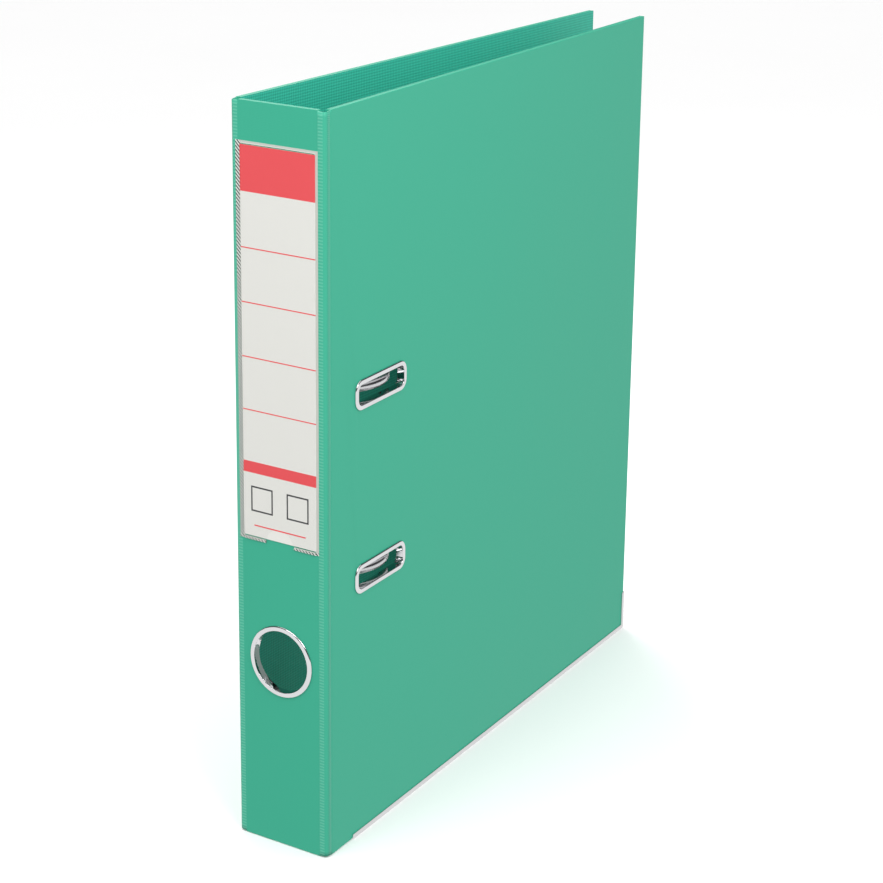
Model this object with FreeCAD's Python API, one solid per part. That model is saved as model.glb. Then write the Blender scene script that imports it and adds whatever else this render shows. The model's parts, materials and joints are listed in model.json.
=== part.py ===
"""A4 lever arch file with a 46 mm spine, standing upright on its bottom edge.

Row frame, in millimetres: +Z up, the spine faces -Y, the front cover is on +X and the back
cover on -X. The origin is the centre of the overall box, on the surface the file stands on.

The case is three greyboards, each held between an outer polypropylene foil and an inner
lining. Where there is no board the two foils are welded into a flexible hinge. The lever arch
mechanism is riveted to the back cover. The closed front cover leans in on its hinge, so that
the tops of the arches stand in its two lock slots.

Positions on the mechanism use three words: reach is the distance from the spine's outer face
towards the fore edge, lift is the height above the back cover's lining, and rise is the
height above the middle of the mechanism.
"""

import math
import os

import FreeCAD
import Part

Vector = FreeCAD.Vector

# ---------------------------------------------------------------- driving dimensions
spine_width = 46.0          # outer face of the back cover to outer face of the front cover
cover_reach = 284.2         # spine's outer face to the covers' fore edge
case_top = 318.0
case_bottom = 0.4           # the covers stand on their metal shoes, this far above the surface
foil = 0.2
board = 2.0
panel = board + 2 * foil
hinge_on_spine = 3.8        # board-free width of foil on the spine's side of each corner
hinge_on_cover = 4.2        # and on the cover's side
corner_radius = 2.0
fold_inset = 0.43           # each fold line lies this far in from its outer corner, both ways
front_lean = 3.1            # degrees the closed front cover leans in
front_tuck = 0.1            # its corner stays this far inside the square corner
foil_slack = 0.05           # hinge foil to board, so that the leaned foil stays clear
fold_notch = 0.5            # the foil is cut back this far at each end of a fold

ring_outer_r = 15.75        # finger ring on the spine
ring_hole_r = 13.6
ring_centre_z = 84.2
eyelet_wall = 0.5
eyelet_bulge = 0.8

slot_length = 40.0          # lock ring, outside of its flange
slot_height = 13.0
slot_flange = 2.1
slot_corner = 4.8
slot_reach = 41.5           # from the spine's outer face to the slot's centre
hole_pitch = 80.0           # two-hole filing standard

mechanism_z = 157.5
pocket_width = 39.8
pocket_bottom = 135.5
pocket_top = 302.0
pocket_film = 0.15
pocket_shift = -0.5         # the welded border is wider on the side away from the hinge
card_width = 36.4
card_rise = 1.7             # the film reaches this far below the card
card_thick = 0.25
card_gap = 0.05             # clearance before and behind the card
card_margin = 1.2
notch_r = 7.0

shoe_wall = 0.4
shoe_lip = 1.8
shoe_start = 20.0
shoe_fore_height = 20.0

plate_thick = 1.0
plate_reach = (12.0, 72.0)
plate_half_rise = 60.0
plate_corner = 6.0
bead_r = 0.9                # raised beads along the plate's long edges
bead_insets = (3.2, 3.0)    # from the plate's edges, nearest the spine and farthest from it
bead_half = 40.0
bead_sink = 0.2             # the beads' axis lies this far below the plate's top
rib_reach = 51.0            # stiffening rib pressed up under the bar
rib_r = 2.2
rib_sink = 0.6              # the rib's axis lies this far below the plate's underside
rib_half = 30.0
bearing_wall = 1.2          # curled tabs that hold the arch wire
bearing_rises = (-34.0, 22.0)
bearing_length = 6.0
bearing_foot = 3.0          # half the width of a tab where it leaves the plate
rivet_head = 0.8
rivet_shank_r = 2.0
rivet_inset = 7.0
rivet_head_r = 4.6
rivet_inner_r = 3.6         # head on the mechanism's side
rivet_inner_head = 0.9

wire_r = 2.2                # arch wire
shaft_reach = 25.0
shaft_lift = 5.2
post_reach = 63.0
post_r = 2.6
post_top = 18.5
post_shoulder = 0.6         # the riveted tenon is this much thinner than the post
mouth_radii = (0.9, 2.1)    # conical mouth of a post, at its bottom and its rim
mouth_slack = 0.4           # the mouth is this much deeper than the arch's tip
arch_radius = (post_reach - shaft_reach) / 2
arch_apex = 37.7            # wire's centreline above the lining
tip_length = 2.0
tip_radii = (0.5, 1.75)     # an arch's tip, at its point and its root
tip_gap = 0.15              # end of the full wire to the top of the post
spring_wire_r = 0.45        # torsion spring on the arch wire
spring_bore_gap = 0.35
spring_turns = 5
spring_pitch = 1.35
spring_start = 1.3          # crank to the first coil
plate_leg_length = 10.0
crank_leg_reach = 7.0
crank_leg_drop = 6.5
crank_leg_bend = 1.5
crank_arm = 9.5
crank_drop = 0.3
crank_low = -18.0           # rises of the crank's two legs
crank_high = -4.0
bend_shaft = 5.0
bend_crank = 3.5
shaft_clear = 0.05

pivot_rise = -16.0
pivot_r = 2.0
pivot_head_r = 3.0
pivot_head = 0.8
roller_r = 4.0
roller_arm = 6.1            # pivot to roller, 60 degrees ahead of straight down at rest
roller_lead = 60.0
roller_pin_r = 1.5
mesh_gap = 0.15             # roller to crank
lug_thick = 1.0
lug_reaches = (18.5, 43.3)  # each lug's face nearest the spine
lug_foot = 8.0              # half the width of a lug where it leaves the plate
lug_head_r = 4.6
lug_neck = 2.0              # the straight sides start this far below the pivot
cheek_gap = 0.3
cheek_thick = 1.0
web_thick = 1.2
lever_web_lift = 19.2
lever_arm_lift = 13.0
lever_tip = 50.0            # pivot to the tip's curl
lever_arm_width = 13.0
web_start = 6.0             # web and cheeks start this far below the pivot
web_end = 22.0              # the web runs this far above it, then slopes to the arm
arm_start = 31.0
shoulder = 18.0             # plan of the web stays wide up to here
neck = 32.0                 # and has narrowed to the arm's width here
slope_gain = 0.6            # the slope's outer face runs this much farther up
arm_flange = 2.4            # depth of the arm's turned-down edges
flange_ends = (34.0, 4.0)   # above the pivot, and short of the tip
pin_side = 2.5              # cheek's margin round the roller's pin
bore_slack = 0.05
curl_r = 2.0

bar_half = 52.0
bar_width = 14.0
bar_height = 6.0
bar_wall = 1.0
bar_lift = 3.0              # bar's underside at rest
catch_out = 6.0             # how far a catch stands out of the bar's end
catch_gap = 0.3
bar_corner = 3.0
bridge_half = 30.0          # the channel is closed underneath over this half length
thumb_half = 14.0           # thumb recess in the middle of the bar
thumb_reach = 4.0
post_slack = 0.5            # the bar's holes are this much wider than the posts
catch_round = 1.2
catch_clear = 3.2           # a catch's inner end to the post, which leaves room to press it in

# ---------------------------------------------------------------- places in the row frame
back_face = -(spine_width + rivet_head - front_tuck) / 2 + rivet_head   # back cover's outer face
front_face = back_face + spine_width
middle_x = (back_face + front_face) / 2
lining_x = back_face + panel                                # where lift is zero
spine_face = -(cover_reach + shoe_wall + eyelet_bulge) / 2 + eyelet_bulge
hinge_y = spine_face + fold_inset
front_hinge_x = front_face - fold_inset
back_hinge_x = back_face + fold_inset
fore_edge = spine_face + cover_reach
crank_reach = shaft_reach + crank_arm
crank_lift = shaft_lift - crank_drop
roller_lift = crank_lift + wire_r + mesh_gap + roller_r
pivot_lift = roller_lift + roller_arm * math.cos(math.radians(roller_lead))
roller_rise = pivot_rise + roller_arm * math.sin(math.radians(roller_lead))


def at(reach, lift, rise):
    """A point of the mechanism in the row frame."""
    return Vector(lining_x + lift, spine_face + reach, mechanism_z + rise)


# ---------------------------------------------------------------- shape helpers
def box(low, high):
    low, high = Vector(*low), Vector(*high)
    size = high - low
    return Part.makeBox(size.x, size.y, size.z, low)


def prism(points, along):
    """A closed outline pushed along a vector."""
    corners = [Vector(*p) for p in points]
    return Part.Face(Part.makePolygon(corners + corners[:1])).extrude(Vector(*along))


def bends(points, radii):
    """The tangent arc at each inner point: its start, middle, end, centre and turn in radians."""
    arcs = []
    for before, corner, after, radius in zip(points, points[1:], points[2:], radii):
        into = (corner - before).normalize()
        out = (after - corner).normalize()
        turn = into.getAngle(out)
        cut = radius * math.tan(turn / 2)
        bisector = (out - into).normalize()
        centre = corner + bisector * (radius / math.cos(turn / 2))
        arcs.append((corner - into * cut, centre - bisector * radius, corner + out * cut, centre, turn))
    return arcs


def rounded_path(points, radii):
    """Straight runs joined by tangent arcs, one radius for each inner point."""
    edges = []
    start = points[0]
    for first, middle, last, _, _ in bends(points, radii):
        edges.append(Part.makeLine(start, first))
        edges.append(Part.Arc(first, middle, last).toShape())
        start = last
    edges.append(Part.makeLine(start, points[-1]))
    return Part.Wire(edges)


def rod(points, radii, radius):
    """A round bar of straight runs and tangent bends, one bend radius for each inner point."""
    pieces = []
    start = points[0]
    for first, _, last, centre, turn in bends(points, radii):
        into = first - start
        if into.Length > 1e-6:
            pieces.append(Part.makeCylinder(radius, into.Length, start, into))
        axis = (first - centre).cross(last - centre)
        along = axis.cross(first - centre)
        section = Part.Face(Part.Wire(Part.Circle(first, along, radius).toShape()))
        pieces.append(section.revolve(centre, axis, math.degrees(turn)))
        start = last
    out = points[-1] - start
    if out.Length > 1e-6:
        pieces.append(Part.makeCylinder(radius, out.Length, start, out))
    if len(pieces) == 1:
        return pieces[0]
    return pieces[0].fuse(pieces[1:])


def slab_oval(length, height, corner, depth, grow=0.0):
    """A rounded rectangle across X, from x = 0 to x = depth, centred on Y and Z."""
    half_l, half_h = length / 2 + grow, height / 2 + grow
    block = box((0, -half_l, -half_h), (depth, half_l, half_h))
    edges = [e for e in block.Edges if abs(e.Length - depth) < 1e-6 and
             abs(e.Vertexes[0].X - e.Vertexes[-1].X) > depth / 2]
    return block.makeFillet(corner + grow, edges)


# ---------------------------------------------------------------- panels of the case
def cover_parts(outer_x, inward):
    """Board, outer foil and lining of a cover that stands square to the spine.

    outer_x is its outer face, and inward is +1 or -1, towards the inside of the file.
    """
    near = spine_face + hinge_on_cover

    def slab(depth_a, depth_b, edge_in):
        xs = sorted((outer_x + inward * depth_a, outer_x + inward * depth_b))
        return box((xs[0], near + edge_in, case_bottom + edge_in),
                   (xs[1], fore_edge - edge_in, case_top - edge_in))

    core = slab(foil, foil + board, foil)
    outer = slab(0, foil + board, 0).cut(core)
    lining = slab(foil + board, panel, 0)
    return core, outer, lining


def spine_parts():
    left = back_face + hinge_on_spine
    right = front_face - hinge_on_spine

    def slab(depth_a, depth_b, edge_in):
        return box((left + edge_in, spine_face + depth_a, case_bottom + edge_in),
                   (right - edge_in, spine_face + depth_b, case_top - edge_in))

    core = slab(foil, foil + board, foil)
    outer = slab(0, foil + board, 0).cut(core)
    lining = slab(foil + board, panel, 0)
    return core, outer, lining


def hinge_foil(side, lean):
    """The two foils welded together round one corner, from the spine board to a cover board.

    side is +1 for the front corner and -1 for the back one; lean is the cover's lean in degrees.
    """
    outer_x = front_face if side > 0 else back_face
    fold = Vector(outer_x - side * fold_inset, hinge_y, 0)
    gap = foil_slack

    def outline(depth):
        start = Vector(outer_x - side * (hinge_on_spine - gap), spine_face + depth, 0)
        corner = Vector(outer_x - side * depth, spine_face + depth, 0)
        end = Vector(outer_x - side * depth, spine_face + hinge_on_cover - gap, 0)
        turn = FreeCAD.Rotation(Vector(0, 0, 1), side * lean)
        end = fold + turn.multVec(end - fold)
        return rounded_path([start, corner, end], [corner_radius - depth])

    outer, inner = outline(0), outline(2 * foil)
    ends = [Part.makeLine(outer.OrderedVertexes[i].Point, inner.OrderedVertexes[i].Point)
            for i in (0, -1)]
    loop = Part.Wire(Part.__sortEdges__(outer.Edges + inner.Edges + ends))
    solid = Part.Face(loop).extrude(Vector(0, 0, case_top - case_bottom))
    solid.translate(Vector(0, 0, case_bottom))
    return solid.cut([end_notch(fold, side, z, way) for z, way in ((case_bottom, -1), (case_top, 1))])


def end_notch(fold, side, edge_z, way):
    """Round cut at the end of a fold; way is +1 at the top edge and -1 at the bottom one."""
    half_chord = (hinge_on_spine + hinge_on_cover) / 2 * math.sqrt(0.5)
    radius = (half_chord ** 2 + fold_notch ** 2) / (2 * fold_notch)
    along = Vector(side, -1, 0).normalize()
    centre = Vector(fold.x, fold.y, edge_z + way * (radius - fold_notch))
    return Part.makeCylinder(radius, 30, centre - along * 15, along)


def edge_shoe(outer_x, inward):
    """Pressed metal channel round the cover's bottom edge and lower fore corner."""
    xs = sorted((outer_x - inward * shoe_wall, outer_x + inward * (panel + shoe_wall)))
    end = fore_edge + shoe_wall
    sole = box((xs[0], spine_face + shoe_start, 0), (xs[1], end, case_bottom + shoe_lip))
    upright = box((xs[0], fore_edge - shoe_lip, 0), (xs[1], end, shoe_fore_height))
    whole = sole.fuse(upright).removeSplitter()
    toe = [e for e in whole.Edges if abs(e.CenterOfMass.y - end) < 1e-6
           and abs(e.CenterOfMass.z) < 1e-6]
    whole = whole.makeFillet(1.2, toe)
    inside = sorted((outer_x, outer_x + inward * panel))
    return whole.cut(box((inside[0], spine_face, case_bottom), (inside[1], fore_edge, case_top)))


# ---------------------------------------------------------------- eyelets and label
def finger_ring():
    """Round eyelet: a domed flange outside, a wall through the spine and a rolled edge inside."""
    flange = Part.makeCylinder(ring_outer_r, eyelet_bulge, Vector(0, -eyelet_bulge, 0), Vector(0, 1, 0))
    rim = [e for e in flange.Edges if abs(e.CenterOfMass.y + eyelet_bulge) < 1e-6]
    flange = flange.makeFillet(eyelet_bulge * 0.75, rim)
    wall = Part.makeCylinder(ring_hole_r + eyelet_wall, panel + 0.1, Vector(0, 0, 0), Vector(0, 1, 0))
    curl = Part.makeCylinder(ring_outer_r - 1.0, eyelet_wall, Vector(0, panel, 0), Vector(0, 1, 0))
    bore = Part.makeCylinder(ring_hole_r, 10, Vector(0, -5, 0), Vector(0, 1, 0))
    ring = flange.fuse([wall, curl]).cut(bore)
    ring.translate(Vector(middle_x, spine_face, ring_centre_z))
    return ring


def lock_ring(rise):
    """Oval eyelet of one lock slot, on the front cover before it leans in."""
    outer = slab_oval(slot_length, slot_height, slot_corner, eyelet_bulge)
    edge = [e for e in outer.Edges if all(abs(v.X) < 1e-6 for v in e.Vertexes)]
    outer = outer.makeFillet(eyelet_bulge * 0.7, edge)
    outer.translate(Vector(-eyelet_bulge, 0, 0))
    wall = slab_oval(slot_length, slot_height, slot_corner, panel, -slot_flange + eyelet_wall)
    curl = slab_oval(slot_length, slot_height, slot_corner, eyelet_wall, -slot_flange + 1.6)
    curl.translate(Vector(panel, 0, 0))
    hole = slab_oval(slot_length, slot_height, slot_corner, 20, -slot_flange)
    hole.translate(Vector(-10, 0, 0))
    ring = outer.fuse([wall, curl]).cut(hole)
    ring.rotate(Vector(0, 0, 0), Vector(0, 0, 1), 180)      # its flange now faces +X
    ring.translate(Vector(front_face, spine_face + slot_reach, mechanism_z + rise))
    return ring


def slot_cutter(rise):
    """The hole that a lock ring's wall needs through the front cover."""
    hole = slab_oval(slot_length, slot_height, slot_corner, 20, -slot_flange + eyelet_wall)
    hole.translate(Vector(front_face - 10, spine_face + slot_reach, mechanism_z + rise))
    return hole


def label_pocket():
    """Clear film welded to the spine round the label card, open at its notched bottom edge."""
    depth = card_thick + 2 * card_gap + pocket_film
    half = pocket_width / 2
    film = box((middle_x + pocket_shift - half, spine_face - depth, pocket_bottom),
               (middle_x + pocket_shift + half, spine_face, pocket_top))
    hollow = box((middle_x - card_width / 2 - 0.2, spine_face - depth + pocket_film, pocket_bottom - 1),
                 (middle_x + card_width / 2 + 0.2, spine_face, pocket_top - card_margin))
    notch = Part.makeCylinder(notch_r, 5, Vector(middle_x, spine_face - 3, pocket_bottom), Vector(0, 1, 0))
    return film.cut(hollow).cut(notch)


def label_card():
    half = card_width / 2
    return box((middle_x - half, spine_face - card_gap - card_thick, pocket_bottom + card_rise),
               (middle_x + half, spine_face - card_gap, pocket_top - card_margin - 0.3))


# ---------------------------------------------------------------- lever arch mechanism
def shaft_bearing(rise, length):
    """A tab of the plate curled round the arch wire."""
    ring = Part.makeCylinder(wire_r + bearing_wall, length, at(shaft_reach, shaft_lift, rise),
                             Vector(0, 0, 1))
    foot = box(tuple(at(shaft_reach - bearing_foot, plate_thick / 2, rise)),
               tuple(at(shaft_reach + bearing_foot, shaft_lift - wire_r, rise + length)))
    return ring.fuse(foot)


def lug(reach):
    """Upright ear of the plate that holds one end of the lever's pivot pin."""
    outline = [at(reach, plate_thick / 2, pivot_rise - lug_foot),
               at(reach, plate_thick / 2, pivot_rise + lug_foot),
               at(reach, pivot_lift - lug_neck, pivot_rise + lug_head_r),
               at(reach, pivot_lift, pivot_rise + lug_head_r),
               at(reach, pivot_lift, pivot_rise - lug_head_r),
               at(reach, pivot_lift - lug_neck, pivot_rise - lug_head_r)]
    stem = prism([tuple(p) for p in outline], (0, lug_thick, 0))
    top = Part.makeCylinder(lug_head_r, lug_thick, at(reach, pivot_lift, pivot_rise), Vector(0, 1, 0))
    return stem.fuse(top)


def base_plate():
    low, high = at(plate_reach[0], 0, -plate_half_rise), at(plate_reach[1], plate_thick, plate_half_rise)
    plate = box(tuple(low), tuple(high))
    corners = [e for e in plate.Edges if abs(e.Length - plate_thick) < 1e-6]
    plate = plate.makeFillet(plate_corner, corners)
    pieces = [shaft_bearing(rise, bearing_length) for rise in bearing_rises]
    pieces += [lug(reach) for reach in lug_reaches]
    bead_lift = plate_thick - bead_sink
    for reach in (plate_reach[0] + bead_insets[0], plate_reach[1] - bead_insets[1]):
        pieces.append(rod([at(reach, bead_lift, -bead_half), at(reach, bead_lift, bead_half)],
                          [], bead_r))
    pieces.append(Part.makeCylinder(rib_r, 2 * rib_half, at(rib_reach, -rib_sink, -rib_half),
                                    Vector(0, 0, 1)))
    plate = plate.fuse(pieces)
    under = box(tuple(at(-5, -5, -90)), tuple(at(90, 0, 90)))
    plate = plate.cut(under)
    bores = [Part.makeCylinder(wire_r + shaft_clear, 90, at(shaft_reach, shaft_lift, -45),
                               Vector(0, 0, 1)),
             Part.makeCylinder(pivot_r, 60, at(0, pivot_lift, pivot_rise), Vector(0, 1, 0))]
    bores += [Part.makeCylinder(rivet_shank_r, 6, at(reach, -2, rise), Vector(1, 0, 0))
              for reach, rise in rivet_places()]
    bores += [Part.makeCylinder(post_r - post_shoulder, 6, at(post_reach, -2, side * hole_pitch / 2),
                                Vector(1, 0, 0)) for side in (-1, 1)]
    return plate.cut(bores)


def rivet_places():
    reaches = (plate_reach[0] + rivet_inset, plate_reach[1] - rivet_inset)
    return [(r, s * (plate_half_rise - rivet_inset)) for r in reaches for s in (-1, 1)]


def rivet(reach, rise):
    """Rivet through back cover and plate, with its low domed head outside."""
    along = Vector(1, 0, 0)
    outer = Part.makeCylinder(rivet_head_r, rivet_head, at(reach, -panel - rivet_head, rise), along)
    rim = [e for e in outer.Edges if abs(e.CenterOfMass.x - (back_face - rivet_head)) < 1e-6]
    outer = outer.makeFillet(rivet_head * 0.8, rim)
    shank = Part.makeCylinder(rivet_shank_r, panel + plate_thick, at(reach, -panel, rise), along)
    inner = Part.makeCylinder(rivet_inner_r, rivet_inner_head, at(reach, plate_thick, rise), along)
    top = at(0, plate_thick + rivet_inner_head, 0).x
    rim = [e for e in inner.Edges if abs(e.CenterOfMass.x - top) < 1e-6]
    inner = inner.makeFillet(rivet_inner_head * 2 / 3, rim)
    return outer.fuse([shank, inner])


def post(side):
    """Fixed post: riveted into the plate, with a conical mouth for the arch's tip."""
    rise = side * hole_pitch / 2
    along = Vector(1, 0, 0)
    body = Part.makeCylinder(post_r, post_top - plate_thick, at(post_reach, plate_thick, rise), along)
    tenon = Part.makeCylinder(post_r - post_shoulder, plate_thick, at(post_reach, 0, rise), along)
    depth = tip_length + mouth_slack
    mouth = Part.makeCone(*mouth_radii, depth, at(post_reach, post_top - depth, rise), along)
    return body.fuse(tenon).cut(mouth)


def arch_bail():
    """Both arches, the shaft between them and its crank, bent from one wire."""
    half = hole_pitch / 2
    wire_end = post_top + tip_gap
    line = [at(post_reach, wire_end, -half), at(post_reach, arch_apex, -half),
            at(shaft_reach, arch_apex, -half), at(shaft_reach, shaft_lift, -half),
            at(shaft_reach, shaft_lift, crank_low), at(crank_reach, crank_lift, crank_low),
            at(crank_reach, crank_lift, crank_high), at(shaft_reach, shaft_lift, crank_high),
            at(shaft_reach, shaft_lift, half), at(shaft_reach, arch_apex, half),
            at(post_reach, arch_apex, half), at(post_reach, wire_end, half)]
    radii = [arch_radius] * 2 + [bend_shaft] + [bend_crank] * 4 + [bend_shaft] + [arch_radius] * 2
    wire = rod(line, radii, wire_r)
    tips = [Part.makeCone(*tip_radii, tip_length, at(post_reach, wire_end - tip_length, side * half),
                          Vector(1, 0, 0)) for side in (-1, 1)]
    return wire.fuse(tips)


def spring_coil():
    """Torsion spring on the arch wire: one leg on the plate, the other under the crank."""
    mean_r = wire_r + spring_bore_gap + spring_wire_r
    low = crank_high + wire_r + spring_start
    height = spring_pitch * spring_turns
    helix = Part.makeHelix(spring_pitch, height, mean_r)
    circle = Part.Circle(Vector(mean_r, 0, 0), Vector(0, 1, 0), spring_wire_r).toShape()
    coil = Part.Wire(helix).makePipeShell([Part.Wire(circle)], True, True)
    coil.rotate(Vector(0, 0, 0), Vector(0, 0, 1), 180)
    coil.translate(at(shaft_reach, shaft_lift, low))
    foot = shaft_lift - mean_r
    plate_leg = rod([at(shaft_reach, foot, low + height),
                     at(shaft_reach + plate_leg_length, foot, low + height)], [], spring_wire_r)
    crank_leg = rod([at(shaft_reach, foot, low), at(shaft_reach + crank_leg_reach, foot, low),
                     at(shaft_reach + crank_leg_reach, foot, low - crank_leg_drop)],
                    [crank_leg_bend], spring_wire_r)
    return coil.fuse([plate_leg, crank_leg])


def lever_rivets():
    """The two stub rivets that the lever turns on, one through each lug and cheek."""
    grip = lug_thick + cheek_gap + cheek_thick
    outer_faces = (lug_reaches[0], lug_reaches[1] + lug_thick)
    stubs = []
    for face, inward in zip(outer_faces, (1, -1)):
        along = Vector(0, inward, 0)
        shank = Part.makeCylinder(pivot_r, grip, at(face, pivot_lift, pivot_rise), along)
        outer = Part.makeCylinder(pivot_head_r, pivot_head, at(face, pivot_lift, pivot_rise), -along)
        end = spine_face + face - inward * pivot_head
        rim = [e for e in outer.Edges if abs(e.CenterOfMass.y - end) < 1e-6]
        stubs.append(shank.fuse(outer.makeFillet(pivot_head * 0.7, rim)))
    return Part.makeCompound(stubs)


def cheek(reach):
    """One side of the lever, from the web down past the pivot and the roller's pin."""
    outline = [at(reach, pivot_lift - 3, pivot_rise - lug_head_r),
               at(reach, roller_lift - pin_side, roller_rise - pin_side),
               at(reach, roller_lift - pin_side, roller_rise + pin_side),
               at(reach, lever_web_lift - 4.5, pivot_rise + 16),
               at(reach, lever_web_lift, pivot_rise + 20),
               at(reach, lever_web_lift, pivot_rise - web_start),
               at(reach, pivot_lift, pivot_rise - web_start)]
    side = prism([tuple(p) for p in outline], (0, cheek_thick, 0))
    along = Vector(0, 1, 0)
    bores = [Part.makeCylinder(pivot_r + bore_slack, cheek_thick + 2,
                               at(reach - 1, pivot_lift, pivot_rise), along),
             Part.makeCylinder(roller_pin_r, cheek_thick + 2,
                               at(reach - 1, roller_lift, roller_rise), along)]
    return side.cut(bores)


def lever():
    """Pressed steel lever: a wide web over the roller, then a narrower arm with a curled tip."""
    first = lug_reaches[0] + lug_thick + cheek_gap
    last = lug_reaches[1] - cheek_gap
    middle = (first + last) / 2
    top = lever_web_lift + web_thick
    arm = lever_arm_lift
    top_of_arm = arm + web_thick
    tip = pivot_rise + lever_tip
    line = [(lever_web_lift, pivot_rise - web_start), (lever_web_lift, pivot_rise + web_end),
            (arm, pivot_rise + arm_start), (arm, tip), (arm + web_thick, tip),
            (arm + web_thick, pivot_rise + arm_start + slope_gain),
            (top, pivot_rise + web_end + slope_gain), (top, pivot_rise - web_start)]
    sheet = prism([tuple(at(first, lift, rise)) for lift, rise in line], (0, last - first, 0))
    half = lever_arm_width / 2
    plan = [(first, pivot_rise - web_start), (last, pivot_rise - web_start),
            (last, pivot_rise + shoulder), (middle + half, pivot_rise + neck),
            (middle + half, tip + 1), (middle - half, tip + 1),
            (middle - half, pivot_rise + neck), (first, pivot_rise + shoulder)]
    shape = prism([tuple(at(reach, 0, rise)) for reach, rise in plan], (40, 0, 0))
    sheet = sheet.common(shape)
    rail = [(arm - arm_flange, pivot_rise + flange_ends[0]), (arm - arm_flange, tip - flange_ends[1]),
            (arm + 0.2, tip - 1), (arm + 0.2, pivot_rise + neck)]
    flanges = [prism([tuple(at(reach, lift, rise)) for lift, rise in rail], (0, cheek_thick, 0))
               for reach in (middle - half, middle + half - cheek_thick)]
    curl = Part.makeCylinder(curl_r, lever_arm_width, at(middle - half, top_of_arm - curl_r, tip),
                             Vector(0, 1, 0))
    cheeks = [cheek(first), cheek(last - cheek_thick)]
    return sheet.fuse(flanges + cheeks + [curl])


def roller():
    first, last = shaft_reach + 3.5, lug_reaches[1] - cheek_gap - cheek_thick - 1.5
    solid = Part.makeCylinder(roller_r, last - first, at(first, roller_lift, roller_rise), Vector(0, 1, 0))
    solid = solid.makeChamfer(0.4, [e for e in solid.Edges if e.Curve.TypeId == "Part::GeomCircle"])
    bore = Part.makeCylinder(roller_pin_r + bore_slack, 40, at(first - 5, roller_lift, roller_rise), Vector(0, 1, 0))
    return solid.cut(bore)


def roller_pin():
    first, last = lug_reaches[0] + lug_thick + cheek_gap, lug_reaches[1] - cheek_gap
    return Part.makeCylinder(roller_pin_r, last - first, at(first, roller_lift, roller_rise), Vector(0, 1, 0))


def compressor_bar():
    """Channel that slides on the posts and holds the sheets down."""
    first, last = post_reach - bar_width / 2, post_reach + bar_width / 2
    body = box(tuple(at(first, bar_lift, -bar_half)), tuple(at(last, bar_lift + bar_height, bar_half)))
    ends = [e for e in body.Edges if abs(e.Length - bar_height) < 1e-6]
    body = body.makeFillet(bar_corner, ends)
    hollow = box(tuple(at(first + bar_wall, bar_lift, -bar_half - 1)),
                 tuple(at(last - bar_wall, bar_lift + bar_height - bar_wall, bar_half + 1)))
    bridge = box(tuple(at(first, bar_lift, -bridge_half)),
                 tuple(at(last, bar_lift + bar_wall, bridge_half)))
    thumb = box(tuple(at(post_reach - thumb_reach, bar_lift - 1, -thumb_half)),
                tuple(at(post_reach + thumb_reach, bar_lift + bar_height + 3, thumb_half)))
    holes = [Part.makeCylinder(post_r + post_slack, 2 * bar_height,
                               at(post_reach, bar_lift - 1, side * hole_pitch / 2),
                               Vector(1, 0, 0)) for side in (-1, 1)]
    return body.cut(hollow).fuse(bridge).cut([thumb] + holes)


def catch(side):
    """Sprung plastic catch in one end of the bar; pressing it in frees the post."""
    half = bar_width / 2 - bar_wall - catch_gap
    inner = hole_pitch / 2 + post_r + catch_clear
    outer = bar_half + catch_out
    rises = sorted((side * inner, side * outer))
    block = box(tuple(at(post_reach - half, bar_lift + 0.2, rises[0])),
                tuple(at(post_reach + half, bar_lift + bar_height - bar_wall - catch_gap, rises[1])))
    ends = [e for e in block.Edges if abs(abs(e.CenterOfMass.z - mechanism_z) - outer) < 1e-6]
    return block.makeFillet(catch_round, ends)


# ---------------------------------------------------------------- build and write
def build():
    lean_axis = Vector(front_hinge_x, hinge_y, 0)

    def leaned(shape):
        shape.rotate(lean_axis, Vector(0, 0, 1), front_lean)
        return shape

    half = hole_pitch / 2
    nodes = {}
    board_b, foil_b, lining_b = cover_parts(back_face, 1)
    shanks = [Part.makeCylinder(rivet_shank_r, 10, at(r, -6, z), Vector(1, 0, 0)) for r, z in rivet_places()]
    nodes["back_board"] = board_b.cut(shanks)
    nodes["back_outer_foil"] = foil_b.cut(shanks)
    nodes["back_lining"] = lining_b.cut(shanks)
    nodes["back_edge_shoe"] = edge_shoe(back_face, 1)

    finger_hole = Part.makeCylinder(ring_hole_r + eyelet_wall, 20,
                                    Vector(middle_x, spine_face - 10, ring_centre_z), Vector(0, 1, 0))
    for name, shape in zip(("spine_board", "spine_outer_foil", "spine_lining"), spine_parts()):
        nodes[name] = shape.cut(finger_hole)
    nodes["finger_ring"] = finger_ring()
    nodes["label_pocket"] = label_pocket()
    nodes["label_card"] = label_card()
    nodes["front_hinge_foil"] = hinge_foil(1, front_lean)
    nodes["back_hinge_foil"] = hinge_foil(-1, 0.0)

    slots = [slot_cutter(s * half) for s in (-1, 1)]
    for name, shape in zip(("front_board", "front_outer_foil", "front_lining"), cover_parts(front_face, -1)):
        nodes[name] = leaned(shape.cut(slots))
    nodes["front_edge_shoe"] = leaned(edge_shoe(front_face, -1))
    nodes["lock_ring_lower"] = leaned(lock_ring(-half))
    nodes["lock_ring_upper"] = leaned(lock_ring(half))

    nodes["base_plate"] = base_plate()
    nodes["plate_rivets"] = Part.makeCompound([rivet(r, z) for r, z in rivet_places()])
    nodes["post_lower"] = post(-1)
    nodes["post_upper"] = post(1)
    nodes["lever_rivets"] = lever_rivets()
    nodes["arch_spring"] = spring_coil()
    nodes["arch_bail"] = arch_bail()
    nodes["lever"] = lever()
    nodes["roller"] = roller()
    nodes["roller_pin"] = roller_pin()
    nodes["compressor_bar"] = compressor_bar()
    nodes["catch_lower"] = catch(-1)
    nodes["catch_upper"] = catch(1)
    return nodes


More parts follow.
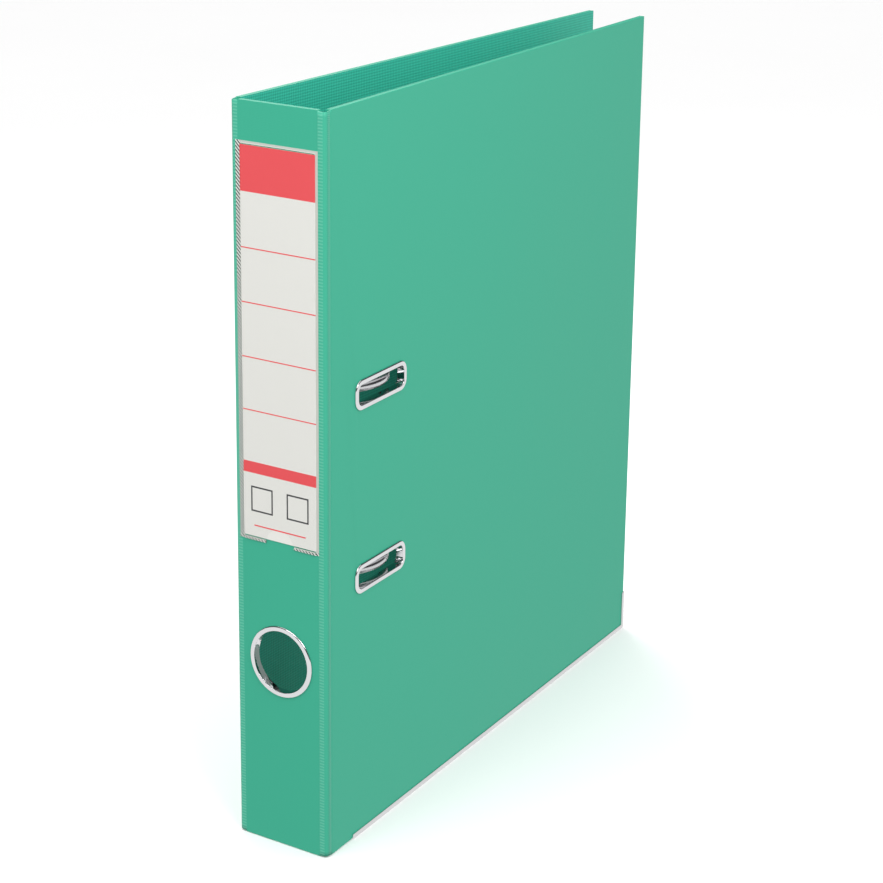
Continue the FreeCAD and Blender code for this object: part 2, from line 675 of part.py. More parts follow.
def main():
    os.makedirs("parts", exist_ok=True)
    for name, shape in build().items():
        solids = len(shape.Solids)
        print(f"{name:20s} solids {solids}  valid {shape.isValid()}  volume {shape.Volume:.1f} mm3")
        shape.exportStep(f"parts/{name}.step")
    print("hinges: front", round(front_hinge_x, 3), "back", round(back_hinge_x, 3), "y", round(hinge_y, 3))
    print("pivot", at(0, pivot_lift, pivot_rise), "shaft", at(shaft_reach, shaft_lift, 0))
    print("roller", at(0, roller_lift, roller_rise), "lining x", lining_x, "spine face", spine_face)


if __name__ == "__main__":
    main()
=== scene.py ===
# %% [markdown]
# # A lever arch file, finished in Blender
#
# The imported model gives every rigid piece in its place, to a hundredth of a millimetre. This
# file adds what a CAD model cannot hold: the welded plastic foil with its linen emboss, the
# bending hinges, the printed label in its clear pocket, the wound spring, plated metal, light
# and a camera. The first cell loads the model.

# %% Load the frame
import json
import math

import bmesh
import bpy
import numpy as np
from mathutils import Matrix, Vector


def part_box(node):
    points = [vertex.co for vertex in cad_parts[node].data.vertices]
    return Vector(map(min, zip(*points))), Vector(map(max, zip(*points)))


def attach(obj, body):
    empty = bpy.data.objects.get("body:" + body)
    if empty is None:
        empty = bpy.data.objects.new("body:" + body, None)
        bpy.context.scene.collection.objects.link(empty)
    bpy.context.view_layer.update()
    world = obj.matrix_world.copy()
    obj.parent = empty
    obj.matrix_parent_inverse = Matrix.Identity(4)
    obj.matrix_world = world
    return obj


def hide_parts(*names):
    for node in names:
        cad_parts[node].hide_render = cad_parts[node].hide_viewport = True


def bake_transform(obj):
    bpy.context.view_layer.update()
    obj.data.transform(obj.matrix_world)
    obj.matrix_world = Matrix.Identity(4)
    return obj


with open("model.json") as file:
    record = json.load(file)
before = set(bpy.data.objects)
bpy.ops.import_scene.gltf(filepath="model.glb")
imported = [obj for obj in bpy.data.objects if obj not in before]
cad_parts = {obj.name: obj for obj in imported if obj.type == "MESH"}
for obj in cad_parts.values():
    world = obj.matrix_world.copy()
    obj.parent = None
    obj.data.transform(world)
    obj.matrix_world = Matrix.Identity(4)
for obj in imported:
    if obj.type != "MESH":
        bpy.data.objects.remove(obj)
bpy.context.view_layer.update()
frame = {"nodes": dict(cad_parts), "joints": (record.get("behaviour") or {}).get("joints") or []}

MM = 0.001
nodes = frame["nodes"]
joints = {joint["name"]: joint for joint in frame["joints"]}
print("pieces in the frame:", len(nodes), "joints:", sorted(joints))

# %% [markdown]
# ## Places to build from
#
# New pieces have to meet the CAD pieces exactly, so every position starts from a CAD node's
# box or from a joint's axis. A few dimensions describe things that are too fine for a box to
# show, such as the foil's thickness, and they are the ones a foil welder would work to.

# %% Read the places of the case
FOIL = 0.2 * MM
spine_low, spine_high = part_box("spine_outer_foil")
front_fold = Vector(joints["front_hinge"]["pos_m"])
back_fold = Vector(joints["back_hinge"]["pos_m"])
shaft = Vector(joints["arch_swing"]["pos_m"])
case_low, case_high = spine_low.z, spine_high.z
spine_face = spine_low.y
print("spine's face at y =", round(spine_face, 5))
print("case from", round(case_low, 5), "to", round(case_high, 5))

# %% [markdown]
# ## Writing shaders as sums
#
# A shader tree is easier to read as arithmetic than as wires. `Signal` wraps one output
# socket, and its operators add the Math node that does the sum. `Wiring` makes any other
# node: it sets the node's own settings first, such as an operation, and then fills or links
# its sockets. `Recipe` is the wiring of one material.

# %% Wrap sockets and materials
class Signal:
    """One output of a material's nodes, to do sums with."""

    def __init__(self, recipe, socket):
        self.recipe = recipe
        self.socket = socket

    def maths(self, operation, *values):
        inputs = dict(enumerate(values))
        return self.recipe.node("ShaderNodeMath", {"operation": operation}, inputs)

    def __add__(self, other):
        return self.maths("ADD", self, other)

    def __sub__(self, other):
        return self.maths("SUBTRACT", self, other)

    def __rsub__(self, other):
        return self.maths("SUBTRACT", other, self)

    def __mul__(self, other):
        return self.maths("MULTIPLY", self, other)

    __radd__ = __add__
    __rmul__ = __mul__

    def sine(self):
        return self.maths("SINE", self)

    def size(self):
        return self.maths("ABSOLUTE", self)

    def above(self, edge):
        return self.maths("GREATER_THAN", self, edge)

    def between(self, low, high):
        return self.above(low) * self.maths("LESS_THAN", self, high)

    def larger(self, other):
        return self.maths("MAXIMUM", self, other)


class Wiring:
    """Adds nodes to one node tree."""

    def __init__(self, tree):
        self.tree = tree

    def node(self, kind, settings=None, inputs=None, output=0):
        node = self.tree.nodes.new(kind)
        for key, value in (settings or {}).items():
            setattr(node, key, value)
        for key, value in (inputs or {}).items():
            self.fill(node.inputs[key], value)
        return Signal(self, node.outputs[output])

    def fill(self, socket, value):
        if isinstance(value, Signal):
            self.tree.links.new(value.socket, socket)
        else:
            socket.default_value = value

    def split(self, vector, letter):
        return self.node("ShaderNodeSeparateXYZ", inputs={0: vector}, output=letter)

    def mix(self, mask, low, high):
        """Colour low where the mask is 0, and high where it is 1."""
        return self.node("ShaderNodeMix", {"data_type": "RGBA"}, {0: mask, 6: low, 7: high}, output=2)


class Recipe(Wiring):
    """One material: a Principled surface and the nodes that vary it."""

    def __init__(self, name, **finish):
        self.material = bpy.data.materials.new(name)
        self.material.use_nodes = True
        super().__init__(self.material.node_tree)
        self.surface = self.tree.nodes["Principled BSDF"]
        self.surface.inputs["Specular IOR Level"].default_value = 0.3
        for socket, value in finish.items():
            self.surface.inputs[socket.replace("_", " ")].default_value = value

    def place(self):
        """The point on the piece, in metres, which stays put when the piece moves."""
        return self.node("ShaderNodeTexCoord", output="Object")

    def axis(self, letter):
        return self.split(self.place(), letter)

    def noise(self, scale, detail=3.0, stretch=(1, 1, 1)):
        where = self.node("ShaderNodeVectorMath", {"operation": "MULTIPLY"}, {0: self.place(), 1: stretch})
        return self.node("ShaderNodeTexNoise", inputs={"Vector": where, "Scale": scale, "Detail": detail})

    def vary(self, **sockets):
        for name, value in sockets.items():
            self.fill(self.surface.inputs[name.replace("_", " ")], value)
        return self

    def relief(self, height, depth):
        """Bumps of that depth, in metres, where the height signal goes from 0 to 1."""
        sockets = {"Height": height, "Distance": depth}
        return self.vary(Normal=self.node("ShaderNodeBump", inputs=sockets))


def rgb(red, green, blue):
    """A colour as it looks on a screen, 0 to 255, as the linear values that Blender works in."""
    channels = [c / 255 for c in (red, green, blue)]
    return tuple(c / 12.92 if c <= 0.04045 else ((c + 0.055) / 1.055) ** 2.4 for c in channels) + (1.0,)


def add_piece(name, mesh, smooth=False):
    """Put a new mesh into the scene as a piece."""
    for polygon in mesh.polygons:
        polygon.use_smooth = smooth
    piece = bpy.data.objects.new(name, mesh)
    bpy.context.scene.collection.objects.link(piece)
    return piece


print("shader helpers ready")

# %% [markdown]
# ## Polypropylene foil
#
# The case is wrapped in coloured polypropylene. Its outside is satin, with a linen emboss so
# shallow that it shows only where light grazes it; the lining has the same emboss, deeper,
# and a more saturated green. Two slanted sine waves multiplied together make the little
# diamonds of the emboss, and a slow noise keeps the sheet from looking printed. The valleys
# between the diamonds are painted darker as painted shade, far more on the lining than outside.

# %% Mix the foils
MINT = rgb(60, 174, 143)
MINT_WORN = rgb(68, 180, 150)
MINT_DEEP = rgb(46, 152, 125)
MINT_PALE = rgb(112, 203, 176)
LINING = rgb(64, 197, 172)
LINING_WORN = rgb(72, 204, 179)
# painted shade: darker greens painted into the valleys of the linen emboss
MINT_PAINTED_SHADE = rgb(40, 140, 112)
LINING_PAINTED_SHADE = rgb(16, 96, 80)
OUTSIDE_PITCH = 0.9 * MM
LINING_PITCH = 1.7 * MM


def linen(recipe, across, pitch):
    """Height of the linen emboss, 0 to 1, on a panel that spans the axis across, and Z."""
    turn = 2 * math.pi / pitch
    u, v = recipe.axis(across), recipe.axis("Z")
    slant_a = ((u + v) * (turn * math.sqrt(0.5))).sine()
    slant_b = ((u - v) * (turn * math.sqrt(0.5))).sine()
    return slant_a * slant_b * 0.5 + 0.5


def foil(name, across, tones, pitch, depth, painted_shade_strength):
    colour, worn, painted_shade = tones
    recipe = Recipe(name, IOR=1.49, Specular_IOR_Level=0.2)
    cloud = recipe.noise(9.0, detail=2.0)
    grain = recipe.noise(900.0, detail=3.0)
    threads = linen(recipe, across, pitch)
    ground = recipe.mix(cloud * 0.5, colour, worn)
    # painted shade: the emboss valleys are painted towards the darker green
    recipe.vary(Base_Color=recipe.mix((1 - threads) * painted_shade_strength, ground, painted_shade))
    recipe.vary(Roughness=cloud * 0.10 + grain * 0.08 + 0.36)
    recipe.relief(threads + grain * 0.6, depth)
    return recipe.material


OUTSIDE = ((MINT, MINT_WORN, MINT_PAINTED_SHADE), OUTSIDE_PITCH, 0.006 * MM, 0.15)
INSIDE = ((LINING, LINING_WORN, LINING_PAINTED_SHADE), LINING_PITCH, 0.05 * MM, 0.55)
cover_foil = foil("mint_foil_cover", "Y", *OUTSIDE)
spine_foil = foil("mint_foil_spine", "X", *OUTSIDE)
cover_lining = foil("lining_cover", "Y", *INSIDE)
spine_lining = foil("lining_spine", "X", *INSIDE)
print("foils:", cover_foil.name, spine_foil.name, cover_lining.name, spine_lining.name)

# %% [markdown]
# ## Metals and moulded plastic
#
# The eyelets, arches and lever are nickel plated, so they mirror the room with a slight
# softness. The pressed plate and the shoes are duller and show the rolling marks of the sheet
# they were cut from, which is noise stretched along one axis. The bar, the catches and the
# roller are black plastic.

# %% Mix the metals and plastics
def plated(name, colour, gloss, streak=(1, 1, 1), marks=0.10):
    recipe = Recipe(name, Metallic=1.0)
    rub = recipe.noise(420.0, detail=4.0, stretch=streak)
    haze = recipe.noise(40.0)
    recipe.vary(Base_Color=recipe.mix(haze * 0.35, colour, rgb(170, 170, 172)))
    recipe.vary(Roughness=rub * marks + haze * 0.05 + gloss)
    recipe.relief(rub, 0.004 * MM)
    return recipe.material


def moulded(name, colour, gloss):
    recipe = Recipe(name, IOR=1.5)
    skin = recipe.noise(1600.0, detail=2.0)
    recipe.vary(Base_Color=recipe.mix(recipe.noise(60.0) * 0.3, colour, rgb(58, 58, 60)))
    recipe.vary(Roughness=skin * 0.15 + gloss)
    recipe.relief(skin, 0.01 * MM)
    return recipe.material


chrome = plated("eyelet_chrome", rgb(232, 232, 234), 0.03, marks=0.04)
wire = plated("plated_wire", rgb(214, 214, 216), 0.12)
sheet = plated("plated_sheet", rgb(196, 196, 198), 0.24, streak=(1, 1, 0.05))
shoe = plated("shoe_nickel", rgb(222, 222, 222), 0.22, streak=(1, 0.05, 1))
rivet = plated("rivet_steel", rgb(198, 198, 200), 0.18)
spring_steel = plated("spring_steel", rgb(120, 120, 124), 0.28)
black_bar = moulded("black_bar", rgb(20, 20, 22), 0.22)
black_catch = moulded("black_catch", rgb(28, 28, 30), 0.38)


def greyboard():
    recipe = Recipe("greyboard", IOR=1.4)
    fibres = recipe.noise(700.0, detail=6.0, stretch=(1, 1, 0.3))
    recipe.vary(Base_Color=recipe.mix(fibres, rgb(150, 142, 128), rgb(190, 182, 168)))
    recipe.vary(Roughness=fibres * 0.1 + 0.85)
    recipe.relief(fibres, 0.05 * MM)
    return recipe.material


board = greyboard()
print("metals, plastics and board ready")

# %% [markdown]
# ## Printing the label
#
# The card's print is only colour, so it needs no geometry: the height on the card says which
# band a point is in. A red head, four writing fields between thin red rules and a heavy red
# rule. The card carries no lettering and no marks: the two plain boxes and the short red rule
# at its foot are stand-ins that only keep the foot from looking bare.

# %% Print the card
card_low, card_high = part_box("label_card")
CARD_RED = rgb(238, 88, 93)
CARD_WHITE = rgb(234, 234, 229)
HEAD_BAND = (0.0, 18.8)             # millimetres down from the card's top edge
RULES = (41.3, 63.8, 86.5, 108.8)
RULE_WIDTH = 0.5
HEAVY_RULE = (131.0, 135.9)
FOOT_RULE = (158.2, 158.8)
INDEX_BOX = 11.0
INDEX_TOP = 141.5
INDEX_LINE = 0.7
INK = rgb(70, 70, 72)


def printed_card():
    recipe = Recipe("label_card_print", IOR=1.45)
    down = (card_high.z - recipe.axis("Z")) * (1 / MM)
    across = (recipe.axis("X") - (card_low.x + card_high.x) / 2) * (1 / MM)
    red = down.between(*HEAD_BAND).larger(down.between(*HEAVY_RULE))
    for rule in RULES:
        red = red.larger(down.between(rule, rule + RULE_WIDTH))
    red = red.larger(down.between(*FOOT_RULE) * across.between(-13, 13))
    ink = None
    for centre in (-9.0, 9.0):
        side = (across - centre).size()
        rise = (down - (INDEX_TOP + INDEX_BOX / 2)).size()
        reach = side.larger(rise)
        box = reach.between(INDEX_BOX / 2 - INDEX_LINE, INDEX_BOX / 2)
        ink = box if ink is None else ink.larger(box)
    fibres = recipe.noise(1500.0, detail=4.0)
    paper = recipe.mix(fibres, CARD_WHITE, rgb(229, 229, 223))
    reds = recipe.mix(fibres * 0.5, CARD_RED, rgb(232, 82, 88))
    recipe.vary(Base_Color=recipe.mix(ink, recipe.mix(red, paper, reds), INK))
    recipe.vary(Roughness=fibres * 0.1 + 0.5)
    recipe.relief(fibres, 0.01 * MM)
    return recipe.material


card_print = printed_card()
print("card is", round((card_high.z - card_low.z) / MM, 1), "mm long")

# %% [markdown]
# ## Dressing the CAD pieces
#
# Pieces whose shape is already right only need their finish. The import leaves each face with
# its own corners, so a Weld modifier joins them, and a small Bevel rounds the sharp edges:
# no real edge is perfectly sharp, and it is the rounded edge that catches the light.

# %% Give each CAD piece its material and edge
DRESS = {
    "back_board": (board, 0), "front_board": (board, 0), "spine_board": (board, 0),
    "back_outer_foil": (cover_foil, 0), "front_outer_foil": (cover_foil, 0.35),
    "spine_outer_foil": (spine_foil, 0),
    "back_lining": (cover_lining, 0), "front_lining": (cover_lining, 0),
    "spine_lining": (spine_lining, 0),
    "back_edge_shoe": (shoe, 0.12), "front_edge_shoe": (shoe, 0.12),
    "finger_ring": (chrome, 0.85), "lock_ring_lower": (chrome, 0.85), "lock_ring_upper": (chrome, 0.85),
    "label_card": (card_print, 0),
    "base_plate": (sheet, 0.18), "lever": (wire, 0.2), "arch_bail": (wire, 0),
    "post_lower": (wire, 0.12), "post_upper": (wire, 0.12),
    "plate_rivets": (rivet, 0), "lever_rivets": (rivet, 0), "roller_pin": (rivet, 0.1),
    "roller": (black_catch, 0), "compressor_bar": (black_bar, 0.25),
    "catch_lower": (black_catch, 0.2), "catch_upper": (black_catch, 0.2),
}


def soften(piece, width):
    weld = piece.modifiers.new("join_corners", "WELD")
    weld.merge_threshold = 1e-6
    bevel = piece.modifiers.new("round_edges", "BEVEL")
    bevel.width = width * MM
    bevel.segments = 3
    bevel.limit_method = "ANGLE"
    bevel.angle_limit = math.radians(40)
    bevel.harden_normals = True


for name, (material, width) in DRESS.items():
    piece = nodes[name]
    for number in range(len(piece.material_slots)):
        piece.material_slots[number].material = material
    if width:
        soften(piece, width)
print("dressed", len(DRESS), "CAD pieces")

# %% [markdown]
# ## The welded hinges
#
# Round each corner the two foils are welded together with no board between them, and that
# strip is the hinge. It bends on the real file; here the rigid CAD strip is replaced by a fine
# mesh, built with one edge on the spine and the other on the cover as they stand. The welding
# bar leaves ribs on the spine's side of the fold, pressed lines beside the fold and a diamond
# knurl on the cover's side.
#
# The strip is a grid: one direction runs along the section of the corner, the other up the
# file. Each end of the fold is notched, so the grid's ends follow that curve.

# %% Build one hinge strip
SPINE_SIDE = 3.8 * MM
COVER_SIDE = 4.2 * MM
CORNER = 2.0 * MM
STRIP_THICK = 2 * FOIL
INSET = front_fold.y - spine_face        # each fold line lies this far in from its corner
RIB_PITCH = 1.3 * MM
RIB_BAND = (-3.2 * MM, -0.9 * MM)       # from the fold, on the spine's side
KNURL_BAND = (1.1 * MM, 3.1 * MM)       # from the fold, on the cover's side
STRIP_COLUMNS, STRIP_ROWS = 48, 160
FOLD_NOTCH = 0.5 * MM
PRESS_DEPTH = 0.16 * MM
PRESS_PLACES = (1.0 * MM, 3.2 * MM)     # from the fold, towards the cover
PRESS_WIDTH = 0.25 * MM


def corner_section(side, lean, depth, steps):
    """Points of the corner in plan, at a depth below its outer face, with their run and normal."""
    outer_x = front_fold.x + INSET if side > 0 else back_fold.x - INSET
    fold = Vector((outer_x - side * INSET, spine_face + INSET))
    radius = CORNER - depth
    flat_a = SPINE_SIDE - CORNER
    flat_b = COVER_SIDE - CORNER
    arc = CORNER * math.pi / 2
    points = []
    for step in range(steps + 1):
        run = step / steps * (flat_a + arc + flat_b)
        if run < flat_a:
            x, y, nx, ny = outer_x - side * (SPINE_SIDE - run), spine_face + depth, 0, -1
        elif run < flat_a + arc:
            turn = (run - flat_a) / CORNER
            nx, ny = side * math.sin(turn), -math.cos(turn)
            x = outer_x - side * CORNER + nx * radius
            y = spine_face + CORNER + ny * radius
        else:
            x, y, nx, ny = outer_x - side * depth, spine_face + CORNER + run - flat_a - arc, side, 0
        place, normal = Vector((x, y)), Vector((nx, ny))
        share = min(max((run - flat_a) / arc, 0), 1)
        spin = Matrix.Rotation(side * lean * share, 2)
        points.append((fold + spin @ (place - fold), spin @ normal, run - flat_a - arc / 2))
    return points


print("a strip is", round((SPINE_SIDE + COVER_SIDE) / MM, 2), "mm wide when it is flat")

# %% [markdown]
# The ribs and the knurl are finer than the grid, so they are bumps in the material, with the
# foil a little paler towards the crests of the ribs and the knurl, and a deeper green across the
# knurled band. The pressed lines and the notched ends are real shape. The material needs to know
# where it is on the flat strip, even when the strip is bent, so each corner of the mesh stores its
# place in an attribute.

# %% Build both hinges
def pressed(run):
    """How far the welding bar pressed the strip in, at a distance from the fold."""
    return sum(PRESS_DEPTH * math.exp(-((run - place) / PRESS_WIDTH) ** 2) for place in PRESS_PLACES)


def end_cut(run):
    """How far the strip's ends are cut back, at a distance from the fold."""
    half = (SPINE_SIDE + COVER_SIDE) / 2
    return FOLD_NOTCH * max(0.0, 1 - (run / half) ** 2)


def hinge_strip(name, side, lean, material):
    outer = corner_section(side, lean, 0, STRIP_COLUMNS)
    inner = corner_section(side, lean, STRIP_THICK, STRIP_COLUMNS)
    inner.reverse()
    mesh = bpy.data.meshes.new(name)
    build = bmesh.new()
    layer = build.verts.layers.float_vector.new("strip_place")
    rings = []
    for row in range(STRIP_ROWS + 1):
        ring = []
        for section, sink in ((outer, 1), (inner, 0)):
            for place, normal, run in section:
                low, high = case_low + end_cut(run), case_high - end_cut(run)
                z = low + (high - low) * row / STRIP_ROWS
                spot = place - normal * (pressed(run) * sink)
                vertex = build.verts.new((spot.x, spot.y, z))
                vertex[layer] = Vector((run, 0, z))
                ring.append(vertex)
        rings.append(ring)
    count = len(rings[0])
    for lower, upper in zip(rings, rings[1:]):
        for i in range(count):
            j = (i + 1) % count
            build.faces.new((lower[i], lower[j], upper[j], upper[i]))
    for ring, flip in ((rings[0], True), (rings[-1], False)):
        for i in range(STRIP_COLUMNS):
            corners = [ring[i], ring[i + 1], ring[count - 2 - i], ring[count - 1 - i]]
            build.faces.new(corners[::-1] if flip else corners)
    bmesh.ops.recalc_face_normals(build, faces=build.faces)
    build.to_mesh(mesh)
    build.free()
    mesh.materials.append(material)
    return add_piece(name, mesh, smooth=True)


def knurled_foil():
    """Foil with ribs on the spine's side of the fold and a diamond knurl on the cover's."""
    recipe = Recipe("mint_foil_weld", IOR=1.49)
    place = recipe.node("ShaderNodeAttribute", {"attribute_name": "strip_place"}, output="Vector")
    run, up = recipe.split(place, "X"), recipe.split(place, "Z")
    turn = 2 * math.pi / RIB_PITCH
    ribs = (up * turn).sine() * 0.5 + 0.5
    slant_a = ((run + up * 0.8) * turn).sine()
    slant_b = ((run - up * 0.8) * turn).sine()
    knurl = slant_a * slant_b * 0.5 + 0.5
    on_spine = run.between(*RIB_BAND)
    on_cover = run.between(*KNURL_BAND)
    grain = recipe.noise(900.0)
    height = ribs * on_spine + knurl * on_cover + grain * 0.1
    ground = recipe.mix(on_cover, MINT, MINT_DEEP)
    # paler towards the crests of the ribs and the knurl, on a deeper green across the knurled band
    recipe.vary(Base_Color=recipe.mix(height * 0.55, ground, MINT_PALE))
    recipe.vary(Roughness=grain * 0.1 + 0.40)
    recipe.relief(height, 0.06 * MM)
    return recipe.material


weld_foil = knurled_foil()
FRONT_LEAN = math.radians(3.1)
for name, side, lean, cover, rigid_strip in (
    ("front_hinge_strip", 1, FRONT_LEAN, "front_cover", "front_hinge_foil"),
    ("back_hinge_strip", -1, 0.0, "back_cover", "back_hinge_foil"),
):
    strip = hinge_strip(name, side, lean, weld_foil)
    if side > 0:
        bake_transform(strip)
    else:
        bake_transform(strip)
    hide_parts(rigid_strip)
    print(name, len(strip.data.polygons), "faces")

# %% [markdown]
# ## The label pocket
#
# The pocket is a sheet of clear film welded to the spine along both sides and the top. Over the
# card it stands a card's thickness proud, and at the welds it is pressed flat. The wide weld
# has a slanted hatch of grey and white, the other two are plain. The bottom edge is an open
# hem, so the card can slide out, and a round bite in it lets a thumb reach the card.

# %% Build the pocket's film
pocket_low, pocket_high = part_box("label_pocket")
BORDER_LEFT = 2.2 * MM
BORDER_RIGHT = 1.2 * MM
BORDER_TOP = 1.2 * MM
HEM = 1.5 * MM
NOTCH = 7.0 * MM
FILM = 0.12 * MM
HATCH_PITCH = 1.6 * MM
SLOPE = 0.3 * MM
FILM_COLUMNS = 81
FILM_ROWS = 220


def clear_film():
    recipe = Recipe("clear_film", IOR=1.49)
    weld = recipe.node("ShaderNodeAttribute", {"attribute_name": "weld"}, output="Fac")
    hatched, pressed_flat = weld.above(0.75), weld.above(0.25)
    turn = 2 * math.pi / HATCH_PITCH
    hatch = ((recipe.axis("X") + recipe.axis("Z")) * turn).sine().above(0.0)
    stripes = recipe.mix(hatch, rgb(84, 92, 88), rgb(236, 240, 234))
    welded = recipe.mix(hatched, rgb(206, 210, 202), stripes)
    recipe.vary(Base_Color=recipe.mix(pressed_flat, rgb(40, 41, 40), welded))
    recipe.vary(Alpha=pressed_flat * 0.82 + 0.02)
    recipe.vary(Roughness=pressed_flat * 0.25 + recipe.noise(300.0) * 0.06 + 0.12)
    recipe.relief(hatch * hatched, 0.05 * MM)
    return recipe.material


def pocket_film():
    mesh = bpy.data.meshes.new("pocket_film")
    build = bmesh.new()
    layer = build.verts.layers.float.new("weld")
    middle = (card_low.x + card_high.x) / 2
    edges = (pocket_low.x + BORDER_LEFT, pocket_high.x - BORDER_RIGHT)
    xs = list(np.linspace(pocket_low.x, pocket_high.x, FILM_COLUMNS))
    xs += [edges[0], edges[0] + SLOPE, edges[1] - SLOPE, edges[1], middle - NOTCH, middle + NOTCH]
    xs = sorted(set(round(float(x), 6) for x in xs))
    proud = spine_face - pocket_low.y
    grids = []
    for back in (0, 1):
        grid = []
        for row in range(FILM_ROWS + 1):
            line = []
            for x in xs:
                bite = max(0.0, NOTCH ** 2 - (x - middle) ** 2) ** 0.5
                z = pocket_low.z + bite + (pocket_high.z - pocket_low.z - bite) * row / FILM_ROWS
                sides = min(x - edges[0], edges[1] - x)
                inside = min(sides, pocket_high.z - BORDER_TOP - z)
                raised = min(max(inside / SLOPE, 0.0), 1.0)
                hem = z < pocket_low.z + HEM and abs(x - middle) > NOTCH
                lift = FILM + (proud - FILM) * raised - FILM * 0.98 * back
                vertex = build.verts.new((x, spine_face - lift, z))
                wide_weld = x < edges[0] + SLOPE / 2
                vertex[layer] = 1.0 if wide_weld or hem else (0.5 if raised < 0.5 else 0.0)
                line.append(vertex)
            grid.append(line)
        grids.append(grid)
    front, rear = grids
    wide = len(xs)
    for grid in grids:
        for lower, upper in zip(grid, grid[1:]):
            for i in range(wide - 1):
                build.faces.new((lower[i], lower[i + 1], upper[i + 1], upper[i]))
    rims = [(front[0], rear[0]), (front[-1], rear[-1]),
            ([line[0] for line in front], [line[0] for line in rear]),
            ([line[-1] for line in front], [line[-1] for line in rear])]
    for a, b in rims:
        for i in range(len(a) - 1):
            build.faces.new((a[i], a[i + 1], b[i + 1], b[i]))
    bmesh.ops.recalc_face_normals(build, faces=build.faces)
    build.to_mesh(mesh)
    build.free()
    mesh.materials.append(clear_film())
    return add_piece("pocket_film", mesh)


film = pocket_film()
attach(film, "spine")
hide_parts("label_pocket")
print("pocket film:", len(film.data.polygons), "faces")

# %% [markdown]
# ## The arch spring
#
# A torsion spring wound on the arch wire pushes the arches open. Its one leg lies on the plate
# and its other leg under the crank, so on the real file it winds up and lets go with the arches;
# here it is built in one pose. A curve with a round bevel makes the wire: a helix for the coil
# and a straight run for each leg.

# %% Wind the spring
spring_low, spring_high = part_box("arch_spring")
SPRING_WIRE = 0.45 * MM
TURNS = 5
PER_TURN = 28
FOOT_DROP = 6.5 * MM          # the leg on the plate, below the coil
FOOT_REACH = 7 * MM
BEND = 0.8 * MM
TAIL_REACH = 10 * MM         # the leg under the crank


def spring():
    mean = (spring_high.x - spring_low.x) / 2 - SPRING_WIRE
    low = spring_low.z + FOOT_DROP
    pitch = (spring_high.z - SPRING_WIRE - low) / TURNS
    foot_x = shaft.x - mean
    foot_y = shaft.y + FOOT_REACH
    route = [Vector((foot_x, foot_y, low - FOOT_DROP)),
             Vector((foot_x, foot_y, low - BEND)),
             Vector((foot_x, foot_y - BEND, low))]
    for step in range(TURNS * PER_TURN + 1):
        turn = 2 * math.pi * step / PER_TURN
        route.append(Vector((shaft.x - mean * math.cos(turn), shaft.y - mean * math.sin(turn),
                             low + pitch * step / PER_TURN)))
    route.append(Vector((foot_x, shaft.y + TAIL_REACH, low + pitch * TURNS)))
    curve = bpy.data.curves.new("arch_spring_wire", "CURVE")
    curve.dimensions = "3D"
    curve.bevel_depth = SPRING_WIRE
    curve.bevel_resolution = 3
    curve.use_fill_caps = True
    line = curve.splines.new("POLY")
    line.points.add(len(route) - 1)
    for point, place in zip(line.points, route):
        point.co = (*place, 1)
    holder = bpy.data.objects.new("holder", curve)
    bpy.context.scene.collection.objects.link(holder)
    mesh = bpy.data.meshes.new_from_object(holder.evaluated_get(bpy.context.evaluated_depsgraph_get()))
    bpy.data.objects.remove(holder)
    mesh.materials.clear()
    mesh.materials.append(spring_steel)
    return add_piece("arch_spring_wire", mesh, smooth=True), low, pitch


coil, coil_low, coil_pitch = spring()
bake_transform(coil)
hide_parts("arch_spring")
print("spring:", TURNS, "turns at", round(coil_pitch / MM, 2), "mm")

# %% [markdown]
# ## Floor, light and camera
#
# A plain white sweep and large soft lamps suit a satin object: broad light leaves the faces
# even, and the edges and eyelets do the talking. Polished metal shows only what stands round
# it, so reflections see a room that is dark from the horizon up to the ceiling lamps: that gives
# every rim and wire its dark line. The even light on the foil still comes from a white room.
# A closed file is dark inside, and a lamp strong enough to reach in through the fore edge burns
# the covers beside it, so one very dim panel, fainter than the room, lifts the lining next to
# the mechanism. The floor neither lights the foil nor shows in it, because its glare would
# turn the foot of the case pale.

# %% Lay the floor
def sweep():
    mesh = bpy.data.meshes.new("floor")
    reach = 6.0
    corners = [(-reach, -reach, 0), (reach, -reach, 0), (reach, reach, 0), (-reach, reach, 0)]
    mesh.from_pydata(corners, [], [(0, 1, 2, 3)])
    paper = Recipe("white_sweep", Roughness=0.9)
    paper.vary(Base_Color=paper.mix(paper.noise(3.0), rgb(252, 252, 252), rgb(255, 255, 255)))
    mesh.materials.append(paper.material)
    piece = add_piece("floor", mesh)
    piece.visible_diffuse = False
    piece.visible_glossy = False
    return piece


sweep()
print("floor laid")

# %% Hang the lamps
def lamp(name, place, size, power, aim=(0, 0, 0.16)):
    data = bpy.data.lights.new(name, "AREA")
    data.shape = "RECTANGLE"
    data.size, data.size_y = size
    data.energy = power
    piece = bpy.data.objects.new(name, data)
    piece.location = place
    piece.rotation_euler = (Vector(aim) - Vector(place)).to_track_quat("-Z", "Y").to_euler()
    piece.visible_camera = False
    bpy.context.scene.collection.objects.link(piece)
    return piece


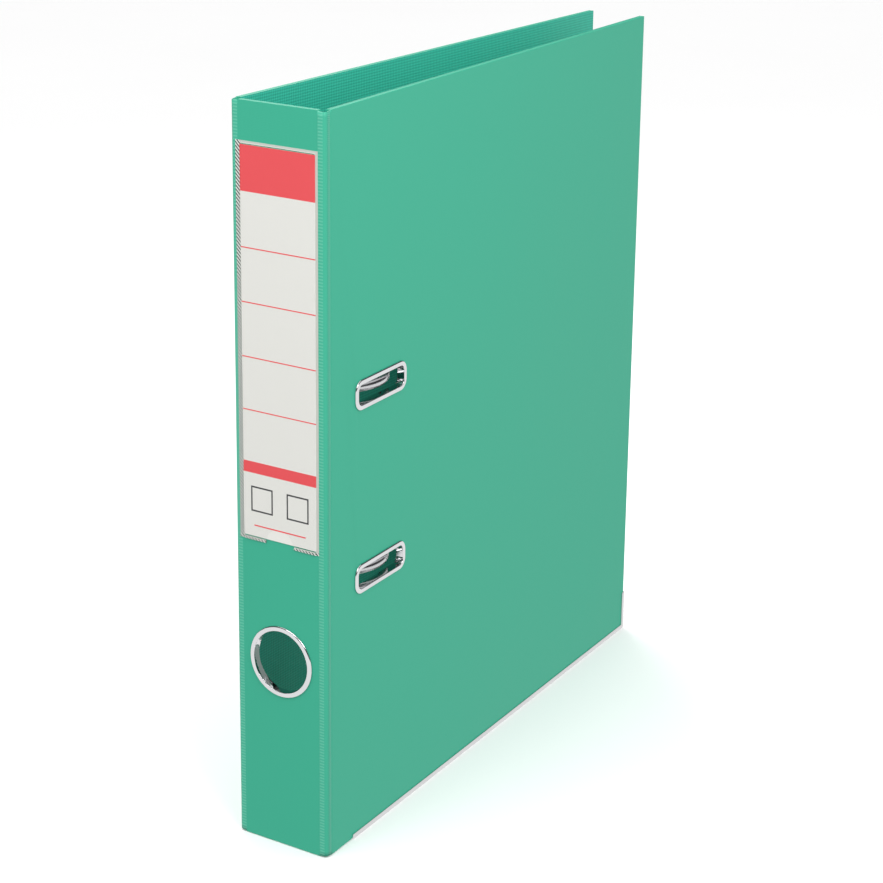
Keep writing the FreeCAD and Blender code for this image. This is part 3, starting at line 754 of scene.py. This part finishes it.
lamp("key", (-0.10, -0.85, 0.95), (0.5, 0.5), 2.4)
lamp("fill", (0.55, -0.35, 0.75), (0.4, 0.4), 2.8)
lamp("behind", (-0.55, 0.45, 0.80), (0.4, 0.4), 2.4)
inside = shaft + Vector((27, 45, -32)) * MM
lamp("inside", inside, (0.10, 0.19), 0.014, aim=inside - Vector((0.03, 0, 0)))
DARK_BAND = (0.02, 0.75)            # sines of the elevations between which metal sees a dark room
FLAG_BLACK = (0.06, 0.06, 0.065, 1)
UNDERFOOT = -0.12                   # below this sine the foil is lit as a dull floor would light it
FLOOR_LIGHT = (0.5, 0.5, 0.5, 1)


def white_room():
    world = bpy.data.worlds.new("studio")
    world.use_nodes = True
    wiring = Wiring(world.node_tree)
    direction = wiring.node("ShaderNodeTexCoord", output="Generated")
    height = wiring.split(direction, "Z")
    mirrored = wiring.node("ShaderNodeLightPath", output="Is Glossy Ray")
    white = (1, 1, 1, 1)
    soft_light = wiring.mix(height.above(UNDERFOOT), FLOOR_LIGHT, white)
    reflection = wiring.mix(height.between(*DARK_BAND), white, FLAG_BLACK)
    room = wiring.mix(mirrored, soft_light, reflection)
    background = world.node_tree.nodes["Background"]
    wiring.fill(background.inputs["Color"], room)
    background.inputs["Strength"].default_value = 1.0
    return world


bpy.context.scene.world = white_room()
bpy.context.scene.view_settings.view_transform = "Standard"
print("four lamps and a white room with a dark band")

# %% Set up the camera
AZIMUTH, ELEVATION, ROLL = (math.radians(a) for a in (32.8, 16.87, 0.71))
EYE = Vector((0.5430, -0.8643, 0.4919))
LENS = 96.5
RISE = -0.1

level = math.cos(ELEVATION)
back = Vector((math.sin(AZIMUTH) * level, -math.cos(AZIMUTH) * level, math.sin(ELEVATION)))
data = bpy.data.cameras.new("camera")
data.lens = LENS
data.sensor_width = 36
data.shift_y = RISE
camera = bpy.data.objects.new("camera", data)
camera.location = EYE
turn = (-back).to_track_quat("-Z", "Y").to_matrix() @ Matrix.Rotation(ROLL, 3, "Z")
camera.rotation_euler = turn.to_euler()
bpy.context.scene.collection.objects.link(camera)
bpy.context.scene.camera = camera
print("camera", round((EYE - Vector((0, 0, 0.16))).length, 3), "m from the file's middle")
